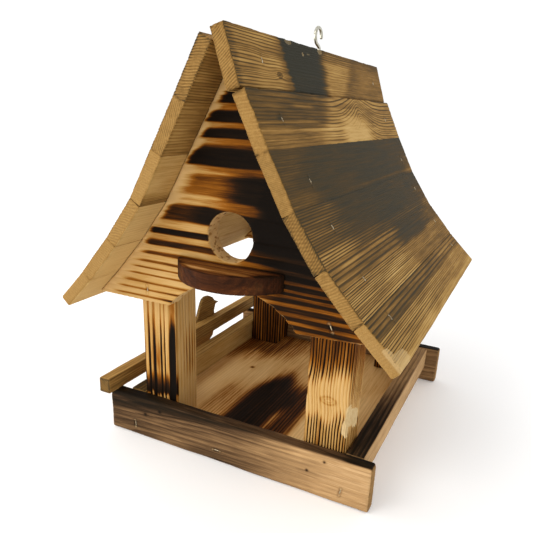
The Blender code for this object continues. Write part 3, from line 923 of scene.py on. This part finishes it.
def gable_soot(mirror):
    def soot(u, v, d):
        u = u * mirror
        black = window(v, 192, 240, 5) * step(18, 36, u + 0.3 * (222 - v))
        return black + 0.2 * step(0, 30, u) * window(v, 176, 196, 5)
    return soot


def gable_part_late(mirror):
    """The pale stripes are narrow at the right."""
    def part_late(u, v, d):
        return 1 - 0.5 * step(0, 44, u * mirror) * fall(182, 190, v)
    return part_late


def gable_keep(mirror):
    def keep(u, v, d):
        u = u * mirror
        return 0.17 + 0.26 * step(-30, 20, u) + 0.12 * step(20, 50, u)
    return keep


def gable_relief(mirror):
    def relief(u, v, d):
        return 0.6 + 0.7 * step(30, 60, u * mirror) * fall(150, 165, v)
    return relief


def gable_look(mirror, lift, **settings):
    return Look(gable_heat(mirror), 0.45, soot=gable_soot(mirror), keep=gable_keep(mirror),
                relief=gable_relief(mirror), part_late=gable_part_late(mirror), edge=0.05,
                lines=tuple(row[0] + lift for row in GABLE_RINGS),
                late=tuple(row[1] for row in GABLE_RINGS), rise=tuple(row[2] for row in GABLE_RINGS),
                vary=0.1,
                sway=(0.8, 70), feather=1.6, torn=0.6, sunk=0.5, burn="pale", **settings)


GABLE_LOOKS = {
    "front_gable": gable_look(1, 0.0, lean=0.0, shift=gable_shift),
    "back_gable": gable_look(-1, 2.5, lean=-0.2),
}


def build_gables():
    for index, (node, look) in enumerate(GABLE_LOOKS.items()):
        low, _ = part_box(node)
        out = -Y if node == "front_gable" else Y
        board = straight_board(node, X, Z, out, low.x / MM, low.z / MM)
        loops = [loop for loop in face_loops(node, out) if max((p - loop[0]).length for p in loop) > 0.015]
        obj = slab(board, loops, 0.85 * MM)
        staples = staples_in(board, [f"{node}_staple_{where}" for where in ("left", "right")])
        finish_board(obj, board, look, node, 700 + index * 40, staples)


# ---------------------------------------------------------------- perch and bird
def perch_top(u, v, d):
    """Brown, with two long pale lenses where the saw met the rings."""
    front = 28 * np.clip(1 - (u / 45) ** 2, 0, 1)
    pale = np.exp(-oval(u, v, (-22, 9, 19, 3.4)) ** 4) + 0.45 * np.exp(-oval(u, v, (16, 8.5, 22, 3.0)) ** 4)
    rings = 0.16 * hill(oval(u, v, (-6, 10, 38, 6.5)), 1, 0.1) + 0.1 * hill(v, 18, 1.2)
    edge = 0.5 * np.exp(-np.maximum(front + v - 28, 0) / 1.2)
    return 0.38 - 0.34 * np.clip(pale, 0, 1) + rings + edge + 0.25 * step(22, 40, u) + 0.3 * step(22, 27, v)


def perch_front(u, v, d):
    return 0.66 + 0.12 * step(3, 14, d) + 0.12 * np.sin(0.35 * d + 0.004 * u * u / 3)


def build_perch():
    node = "perch_shelf"
    board = straight_board(node, X, Y, Z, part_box(node)[0].x / MM, 0.0)
    look = Look(perch_top, 0.9, edge=perch_front, end=0.8, saw=(0, 2, 0), lines=3.4, sway=(0.8, 40),
                keep=0.85,
                relief=0.2, burn="perch", slot="dark_scorched_pine")
    finish_board(remeshed_node(board, node, 0.7 * MM), board, look, node, 800)


def build_bird():
    node = "bird_cutout"
    low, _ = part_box(node)
    board = straight_board(node, Y, Z, -X, low.y / MM, low.z / MM)
    look = Look(0.5, 0.5, edge=0.9, end=0.5, saw=(0, 2, 0), lines=2.6, relief=0.2, keep=0.6, slot="bare_pine")
    finish_board(remeshed_node(board, node, 0.55 * MM), board, look, node, 840)


# ---------------------------------------------------------------- posts
def front_left_post(u, v, d):
    """Black between the pale lines from near the top downwards, and all black at the foot."""
    rounded = 3.0 * np.abs(np.sin(v * 0.4))
    heat = 0.9 * fall(80, 124, u + rounded) + 0.24
    return heat + 0.12 + 0.4 * step(26.5, 29.5, v) * fall(104, 124, u)


def front_left_post_soot(u, v, d):
    right = 0.45 * step(26.5, 29.5, v) * fall(92, 116, u) * (v < 34)
    return np.maximum(right, 0.8 * fall(44, 66, u) * step(41.5, 44.5, u)) * (d < 2.5)


def front_left_post_side(u, v, d):
    streaks = 0.42 * window(d, 13, 30, 4) * window(u, 62, 98, 16)
    return 0.16 + streaks * (v > 17) + 0.9 * (v <= 17) * fall(40, 90, u) + 0.4 * np.exp(-d / 2) * (v > 17)


def front_right_post(u, v, d):
    upper = step(0, 16, u - 86 - 12 * step(2, 22, v))
    lower = 1 - step(-14, 2, u - 66 - 10 * step(16, 30, v))
    return 0.24 + 0.95 * np.maximum(upper * (1 - 0.08 * step(110, 125, u)), lower)


def front_right_post_keep(u, v, d):
    return 0.12 + 0.3 * step(92, 122, u)


def front_right_post_side(u, v, d):
    return 0.3 + 0.7 * np.maximum(step(76, 100, u + 0.4 * d), 1.2 * fall(50, 58, u)) * (v > 17)


def post_bow(u, v):
    return 2.2 * hill(u, 88, 16) * (1 - v / 40) - 1.5 * hill(u, 70, 10) * v / 34


def back_post(u, v, d):
    return 1.0 - 0.25 * step(60, 130, u)


POST_RINGS = (  # across the front left post: where each ring starts, and its share of late wood
    (-5, 0.4), (0, 0.6), (5, 0.4), (10, 0.5), (18, 0.4), (22, 0.6), (27, 0.05), (35, 0.3), (39, 0.4),
    (42.5, 0.4),
    (45.5, 0.5), (49, 0.4), (52, 0.4), (55, 0.4), (58, 0.4), (61, 0.4), (64, 0.4))

POST_LOOKS = {
    "front_left_post": Look(front_left_post, 0.4, edge=front_left_post_side, soot=front_left_post_soot,
        burn="pale", lines=tuple(x for x, _ in POST_RINGS), late=tuple(share for _, share in POST_RINGS),
        rise=0.2, vary=0.12, lean=0.75, sway=(0.5, 45), keep=0.14, relief=0.8, feather=3),
    "front_right_post": Look(front_right_post, 0.4, edge=front_right_post_side, keep=front_right_post_keep,
        burn="pale", lines=2.45, late=0.45, rise=0.2, vary=0.12, lean=0.8, sway=(0.4, 50),
        relief=0.6, shift=post_bow, eyes=[(80, 18, 3.2, 6, 0.2), (80, 18, 1.4, 3, 0.14)],
        chips=[(60, 34.6, 8, 4.4, 1.0, 0.9), (68, 34.6, 6, 2.2, 0.8, 0.9)],
        side_chips=[(66, 9, 8, 10, 1.3, 0.95), (60, 20, 9, 9, 1.3, 0.95),
        (73, 4, 7, 5, 0.9, 0.9)], feather=4),
    "back_left_post": Look(back_post, back_post, edge=back_post, burn="pale", lines=3.4, late=0.25, keep=0.3,
        relief=0.5),
    "back_right_post": Look(back_post, back_post, edge=back_post, burn="pale", lines=2.9, late=0.3, keep=0.3,
        relief=0.5),
}


def build_posts():
    for index, (node, look) in enumerate(POST_LOOKS.items()):
        look.across, look.along, look.worn, look.end = 0.5, 1.6, 1.3, 0.3
        block_from_node(node, Z, X, -Y, look, 900 + index * 40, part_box(node)[0].z / MM)


# ---------------------------------------------------------------- base
def floor_heat(u, v, d):
    fringe = window(v, -62, -32, 8) * fall(-50, 12, u)
    # painted shade: darker reddish brown towards the back left corner of the floor
    painted_shade_back_left = 0.5 * step(34, 74, u - 0.4 * (v + 60)) * fall(-60, 10, v)
    return 0.02 + 0.36 * fringe + 0.18 * step(-10, 60, u) + painted_shade_back_left + 0.62 * floor_flame(u, v, 18)


def floor_flame(u, v, blur):
    """Tongues that reach back from the middle of the front."""
    reach = 24 + 10 * np.cos((v + 12) / 6) - 0.012 * (v + 8) ** 2
    return window(v, -32, 32, blur / 2) * fall(reach - 1.8 * blur, reach + 1.4 * blur, u)


def floor_soot(u, v, d):
    gap = 0.5 * window(v, 6, 14, 4) * fall(-70, -30, u)
    return (0.5 - gap) * floor_flame(u + 12, v, 14) * (1 - 0.4 * step(5, 20, v))


def rim_rise(u, v):
    return v + 0.07 * (u + 130)


def rim_heat(u, v, d):
    left = 1 - step(-110, 100, u)
    heat = 0.18 + 0.52 * left + 0.3 * fall(-60, 60, u) * fall(6, 24, rim_rise(u, v))
    return heat + 0.16 * hill(u, -15, 26) * step(28, 37, v) + 0.18 * hill(u, 4, 50)


def rim_soot(u, v, d):
    return 0.3 * fall(0.4, 1.4, v) + 0.16 * fall(-70, 20, u) * fall(3, 14, v)


def rim_edges(u, v, d):
    top = 0.58 + 0.14 * fall(-100, -60, u) + 0.4 * step(92, 108, u) - 0.2 * hill(u, 40, 50)
    return np.where(v < 20, top, 0.5)


def side_top(near, far, dark):
    """The top of a side board, black towards the front."""
    def heat(u, v, d):
        return np.where(v < 11, 0.42 + dark * fall(near, far, u), 0.3)
    return heat


def rim_look(sway, marks):
    return Look(rim_heat, 0.5, edge=rim_edges, soot=rim_soot, end=0.2, lines=5.2, late=0.35, rise=0.5,
                lean=0.5,
                sway=sway, shift=lambda u, v: 0.07 * u, keep=0.66, relief=0.22, burn="rim", worn=2.4,
                sunk=0.45, vary=0.5,
                knots=[(-60, 22, 3, 60, 14), (30, 10, -2, 50, 12)], marks=marks)


BASE_LOOKS = {
    "floor_board": (Y, X, Z, Look(floor_heat, 0.2, edge=0.3, soot=floor_soot, lines=3.1, late=0.35, lean=0.8,
        keep=0.55, sway=(1.2, 80), relief=0.2, burn="floor", across=0.8, along=3.0,
        feather=5, marks=[(20, -57, 2.4, 2.0, 0.8)])),
    "front_rim": (X, -Z, -Y, rim_look((3.4, 90), [
        (-72, 9, 1.4, 1.2, 0.5), (-88, 16, 1.6, 1.4, 0.45), (70, 18.6, 1.1, 1.1, 0.7),
        (84, 6.4, 1.1, 1.1, 0.7)])),
    "back_rim": (X, -Z, Y, rim_look((3.0, 80), [(40, 22, 3.0, 2.4, 0.5)])),
    "right_side_batten": (Y, -Z, X,
        Look(0.16, 0.4, edge=side_top(-75, 30, 0.75), lines=3.3, lean=0.7, keep=0.6,
        burn="rim", slot="bare_pine")),
    "left_side_batten": (Y, -Z, -X,
        Look(0.3, 0.2, edge=side_top(-90, -40, 0.6), lines=3.0, lean=0.7, keep=0.6, slot="bare_pine")),
    "left_top_rail": (Y, -Z, X, Look(0.52, 0.4, edge=0.4, end=0.44, rings=0.4, lines=2.8, lean=0.8,
        keep=0.6, sway=(0.9, 50), relief=0.24, saw=(0.8, 2.2, 0.6), slot="bare_pine")),
}


def build_base():
    for index, (node, (u, v, out, look)) in enumerate(BASE_LOOKS.items()):
        low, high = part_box(node)
        u_from = low.dot(u) / MM
        v_from = low.x / MM if node == "floor_board" else 0.0
        staples = [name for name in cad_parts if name.startswith(node + "_staple")]
        block_from_node(node, u, v, out, look, 1100 + index * 40, u_from, v_from, staples)


# ---------------------------------------------------------------- metal
HOOK_LOOP = 6.4 * MM
HOOK_CENTRE = Vector((0.0, -3.2, 11.2)) * MM  # of the loop, from where the shank leaves the wood
HOOK_FROM, HOOK_TO = 232, -12
HOOK_NECK = 2.2 * MM


def tube(name, points, radii, sides=3):
    curve = bpy.data.curves.new(name, "CURVE")
    curve.dimensions = "3D"
    curve.bevel_depth = 1.0
    curve.bevel_resolution = sides
    curve.use_fill_caps = True
    spline = curve.splines.new("POLY")
    spline.points.add(len(points) - 1)
    for point, place, radius in zip(spline.points, points, radii):
        point.co = (*place, 1.0)
        point.radius = radius
    mesh = settle(put(name + "_route", curve), name)
    weld(mesh, 0.000002)
    mesh.shade_smooth()
    return put(name, mesh)


def bezier(a, b, c, d, count):
    steps = [i / count for i in range(count)]
    return [a * (1 - t)**3 + b * 3 * t * (1 - t)**2 + c * 3 * t**2 * (1 - t) + d * t**3 for t in steps]


def round_the_loop(degrees):
    a = math.radians(degrees)
    return HOOK_CENTRE + Vector((0, math.cos(a), math.sin(a))) * HOOK_LOOP


def build_hook():
    low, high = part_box("screw_hook")
    wire = (high.x - low.x) / 2
    foot = Vector(((low.x + high.x) / 2, low.y + wire + HOOK_LOOP, high.z - wire - HOOK_LOOP)) - HOOK_CENTRE
    depth = foot.z - low.z
    loop = [round_the_loop(HOOK_FROM + (HOOK_TO - HOOK_FROM) * i / 60) for i in range(61)]
    heading = (loop[1] - loop[0]).normalized()
    neck = bezier(Vector((0, 0, HOOK_NECK)), Vector((0, 0, HOOK_NECK + 2 * MM)),
                  loop[0] - heading * 2 * MM, loop[0], 14)
    shank = [Vector((0, 0, -depth + i * MM)) for i in range(int(depth / MM) + 1)] + [Vector((0, 0, 0.8 * MM))]
    route = shank + neck + loop
    radii = [wire * min(1.0, 0.25 + 0.2 * i) for i in range(len(shank))] + [wire] * len(neck)
    radii += [wire * (1 - 0.06 * hill(i, 30, 12)) for i in range(61)]
    for back, share in ((1, 0.62), (2, 0.9)):
        radii[-back] *= share
    hook = tube("screw_hook_wire", [foot + p for p in route], radii, 6)
    turns, pitch = 6, 1.5 * MM
    thread = [foot + Vector((wire * math.cos(t), wire * math.sin(t),
                             -depth + 1.6 * MM + pitch * t / (2 * math.pi)))
              for t in (i * math.pi / 9 for i in range(18 * turns))]
    thread = tube("screw_hook_thread", thread, [0.28 * MM] * len(thread), 2)
    for obj in (hook, thread):
        obj.data.materials.append(ZINC)
        attach(obj, HOOK, "screw_hook" if obj is hook else None)


BRADS = ((70, 21.4), (84, 33.6))  # headless brads in the front rim: X and Z in millimetres


def build_brads():
    low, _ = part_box("front_rim")
    for number, (x, z) in enumerate(BRADS, 1):
        depths = (0.1, 0.5, 8.0, 9.5)
        points = [Vector((x * MM, low.y + depth * MM, z * MM)) for depth in depths]
        brad = tube(f"front_rim_brad_{number}", points, [0.45 * MM, 0.6 * MM, 0.6 * MM, 0.1 * MM])
        brad.data.materials.append(STAPLE)
        attach(brad, HOUSE)


# ---------------------------------------------------------------- stage, camera and light
CAMERA_PLACE = (0.19631, -0.46151, 0.28678)  # metres
CAMERA_TURN = (25.13, -19.72, 2.48)  # yaw, pitch and roll in degrees
CAMERA_LENS, CAMERA_SENSOR = 36.65, 36  # mm
CAMERA_SHIFT = (-0.0208, 0.0714)


def camera():
    yaw, pitch, roll = (math.radians(angle) for angle in CAMERA_TURN)
    ahead = Vector((-math.sin(yaw) * math.cos(pitch), math.cos(yaw) * math.cos(pitch), math.sin(pitch)))
    right = ahead.cross(Z).normalized()
    up = right.cross(ahead)
    across = right * math.cos(roll) + up * math.sin(roll)
    upward = up * math.cos(roll) - right * math.sin(roll)
    data = bpy.data.cameras.new("camera")
    data.sensor_width, data.lens = CAMERA_SENSOR, CAMERA_LENS
    data.shift_x, data.shift_y = CAMERA_SHIFT
    data.clip_start = 0.01
    obj = put("camera", data)
    rotation = Matrix((across, upward, -ahead)).transposed()
    obj.matrix_world = Matrix.Translation(CAMERA_PLACE) @ rotation.to_4x4()
    bpy.context.scene.camera = obj


def area_light(name, place, target, size, power, colour):
    data = bpy.data.lights.new(name, "AREA")
    data.shape = "DISK"
    data.size = size
    data.energy = power
    data.color = colour
    obj = put(name, data)
    obj.location = place
    obj.rotation_euler = (Vector(place) - Vector(target)).to_track_quat("Z", "Y").to_euler()


def build_stage():
    floor = mesh_object("studio_floor", np.array([(-6, -6, 0), (6, -6, 0), (6, 6, 0), (-6, 6, 0)], float),
                        np.array([(0, 1, 2, 3)]))
    floor.location.z = -0.0004
    m = Nodes("studio_floor")
    m.set(Base_Color=(0.9, 0.9, 0.9), Roughness=0.9, Specular_IOR_Level=0.0)
    m.set(Emission_Color=(1.0, 1.0, 1.0), Emission_Strength=0.13)
    floor.data.materials.append(m.material)
    world = bpy.data.worlds.new("studio")
    bpy.context.scene.world = world
    world.use_nodes = True
    background = world.node_tree.nodes["Background"]
    background.inputs["Color"].default_value = (1, 1, 1, 1)
    background.inputs["Strength"].default_value = 1.02
    centre = (0, 0, 0.16)
    area_light("key", (-0.8, -1.3, 1.4), centre, 1.0, 9, (1.0, 0.98, 0.94))
    area_light("front", (-0.4, -1.7, 0.3), centre, 1.2, 6.5, (1.0, 0.97, 0.92))
    area_light("side", (-1.2, -0.4, 0.2), (0, 0, 0.05), 0.8, 9, (1.0, 0.97, 0.92))
    bpy.context.scene.view_settings.view_transform = "Standard"


STAPLE, ZINC = wire_metal(), zinc()
build_stage()
camera()
build_roof()
build_gables()
build_perch()
build_bird()
build_posts()
build_base()
build_hook()
build_brads()
